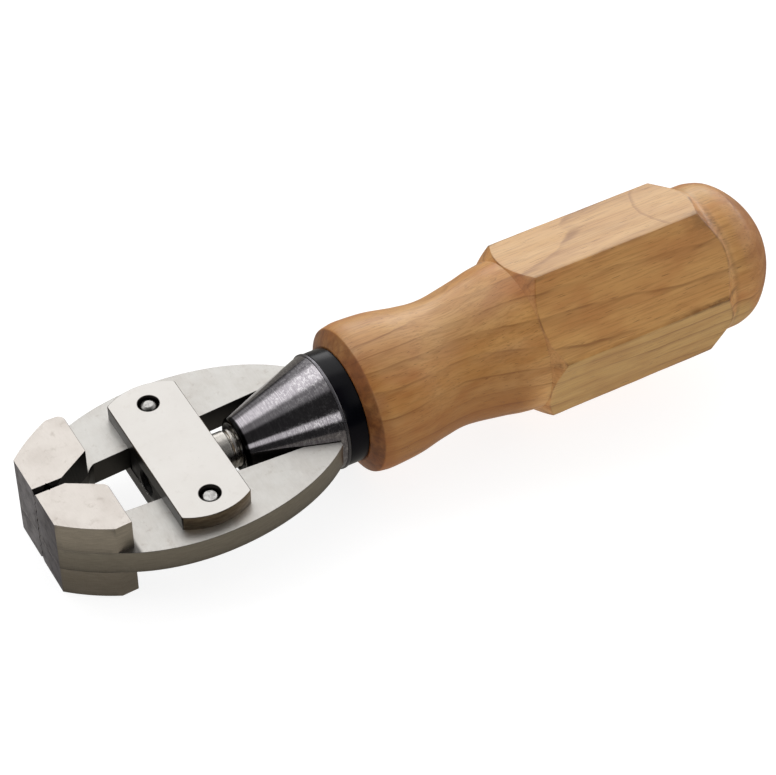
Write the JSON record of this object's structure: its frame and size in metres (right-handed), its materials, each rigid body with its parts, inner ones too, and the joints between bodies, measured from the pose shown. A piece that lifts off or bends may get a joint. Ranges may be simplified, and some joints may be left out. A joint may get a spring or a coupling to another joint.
{
  "type": "hand vise",
  "caption": "Hand vise with a turned, hexagonal wooden handle: a screw-driven cone spreads the arms' tails and closes a pair of flat jaws.",
  "frame": {"origin": "bottom centre of the whole tool's box, on the surface below the handle's lowest corner", "axes": "+X runs from the jaws' nose along the screw to the handle's end, +Z is normal to the two plates, +Y points to the far arm"},
  "size_m": [0.165, 0.0428, 0.0367],
  "materials": {
    "plate_steel": "smooth ground and polished, edges browner",
    "arm_steel": "ground satin, faintly mottled",
    "jaw_steel": "ground satin, dark patina on the front face",
    "pin_steel": "polished dome",
    "black_steel": "black oxide, matt",
    "screw_steel": "bright machined thread",
    "cone_steel": "turned gunmetal, fine rings round the axis",
    "washer_steel": "bright turned edge",
    "blued_steel": "smooth satin blue-black",
    "spring_steel": "bright spring wire",
    "hidden_steel": "plain machined",
    "handle_wood": "light hardwood, satin, fine grain along the axis"
  },
  "bodies": {
    "frame": {"top_plate": "plate_steel", "bottom_plate": "plate_steel", "spacer_block": "black_steel", "block_dowels": "hidden_steel", "drive_screw": "screw_steel", "screw_lock_pin": "hidden_steel", "stop_washer": "hidden_steel", "stop_screw": "hidden_steel", "far_pivot_pin": "pin_steel", "near_pivot_pin": "pin_steel", "far_spring": "spring_steel", "near_spring": "spring_steel"},
    "far_jaw_arm": {"far_arm": "arm_steel", "far_jaw_upper": "jaw_steel", "far_jaw_lower": "jaw_steel", "far_jaw_dowels": "hidden_steel"},
    "near_jaw_arm": {"near_arm": "arm_steel", "near_jaw_upper": "jaw_steel", "near_jaw_lower": "jaw_steel", "near_jaw_dowels": "hidden_steel"},
    "cone": {"spreader_cone": "cone_steel", "thrust_washer": "washer_steel", "retaining_ring": "spring_steel"},
    "handle": {"ferrule": "blued_steel", "threaded_insert": "hidden_steel", "insert_keys": "hidden_steel", "wooden_handle": "handle_wood"}
  },
  "joints": [
    {"name": "handle_turn", "type": "hinge", "parent": "cone", "child": "handle", "pos_m": [-0.00255, 0, 0.01835], "axis": [1, 0, 0], "range_deg": [0, 4320]},
    {"name": "cone_travel", "type": "slide", "parent": "frame", "child": "cone", "axis": [1, 0, 0], "range_m": [0, 0.01501]},
    {"name": "far_jaw_swing", "type": "hinge", "parent": "frame", "child": "far_jaw_arm", "pos_m": [-0.05235, 0.01346, 0.01835], "axis": [0, 0, 1], "range_deg": [-9.7, 0]},
    {"name": "near_jaw_swing", "type": "hinge", "parent": "frame", "child": "near_jaw_arm", "pos_m": [-0.05235, -0.01346, 0.01835], "axis": [0, 0, 1], "range_deg": [0, 9.7]}
  ],
  "couplings": [
    {"joint": "cone_travel", "follows": "handle_turn", "m_per_rad": 0.00019894},
    {"joint": "far_jaw_swing", "follows": "handle_turn", "ratio": -0.0022282},
    {"joint": "near_jaw_swing", "follows": "handle_turn", "ratio": 0.0022282}
  ]
}
